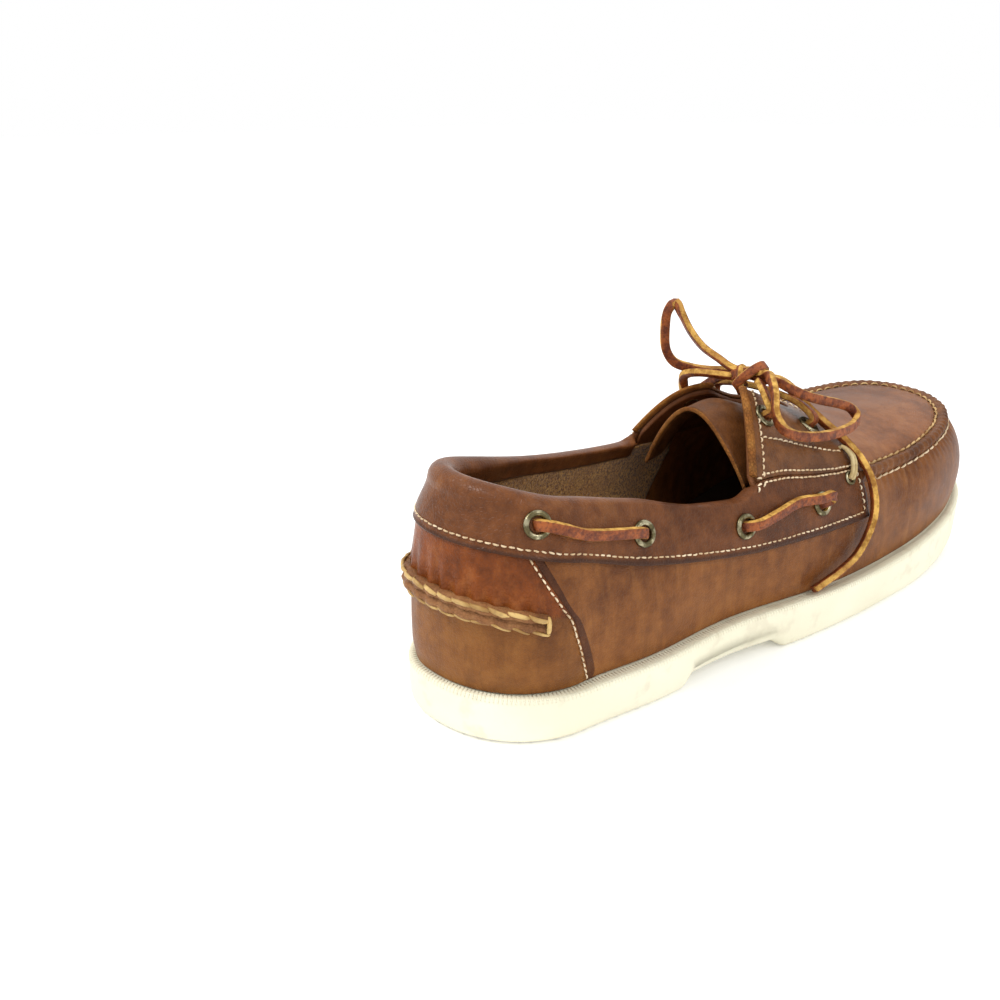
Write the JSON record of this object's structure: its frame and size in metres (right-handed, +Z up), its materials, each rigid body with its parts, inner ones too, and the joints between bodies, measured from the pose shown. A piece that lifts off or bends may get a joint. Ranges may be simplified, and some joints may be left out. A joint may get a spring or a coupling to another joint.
{
  "type": "boat shoe",
  "caption": "Brown leather boat shoe for the right foot, moccasin toe seam, rawhide laces threaded along the collar and tied in a bow, cream rubber sole.",
  "frame": {"origin": "on the floor, under the middle of the sole's length and width", "axes": "+Y from heel to toe, +X to the wearer's right (the outer side), +Z up"},
  "size_m": [0.105, 0.2971, 0.1188],
  "materials": {
    "sole_rubber": "matt moulded rubber with fine ribs round the rim",
    "footbed": "dark suede-like leather",
    "brown_leather": "oiled, softly worn, with pale scuffs",
    "dark_leather": "oiled, slightly shiny",
    "seam_leather": "gathered and burnished",
    "eyelet_brass": "antique brass",
    "lace_rawhide": "waxed rawhide with paler cut edges"
  },
  "bodies": {
    "root": {"outsole": "sole_rubber", "insole": "footbed", "upper": "brown_leather", "tongue": "dark_leather", "collar_band": "dark_leather", "eyestay": "dark_leather", "toe_seam": "seam_leather", "heel_seam": "seam_leather", "eyelet_collar_outer_1": "eyelet_brass", "eyelet_collar_outer_2": "eyelet_brass", "eyelet_collar_outer_3": "eyelet_brass", "eyelet_collar_outer_4": "eyelet_brass", "eyelet_collar_inner_1": "eyelet_brass", "eyelet_collar_inner_2": "eyelet_brass", "eyelet_collar_inner_3": "eyelet_brass", "eyelet_collar_inner_4": "eyelet_brass", "eyelet_throat_outer_1": "eyelet_brass", "eyelet_throat_outer_2": "eyelet_brass", "eyelet_throat_inner_1": "eyelet_brass", "eyelet_throat_inner_2": "eyelet_brass", "lace_bar_outer_rear": "lace_rawhide", "lace_bar_outer_front": "lace_rawhide", "lace_bar_inner_rear": "lace_rawhide", "lace_bar_inner_front": "lace_rawhide", "lace_cross_front": "lace_rawhide", "lace_tie_outer": "lace_rawhide", "lace_tie_inner": "lace_rawhide", "lace_knot": "lace_rawhide", "lace_loop_inner": "lace_rawhide", "lace_loop_outer": "lace_rawhide", "lace_end_outer": "lace_rawhide", "lace_end_inner": "lace_rawhide"}
  },
  "joints": []
}
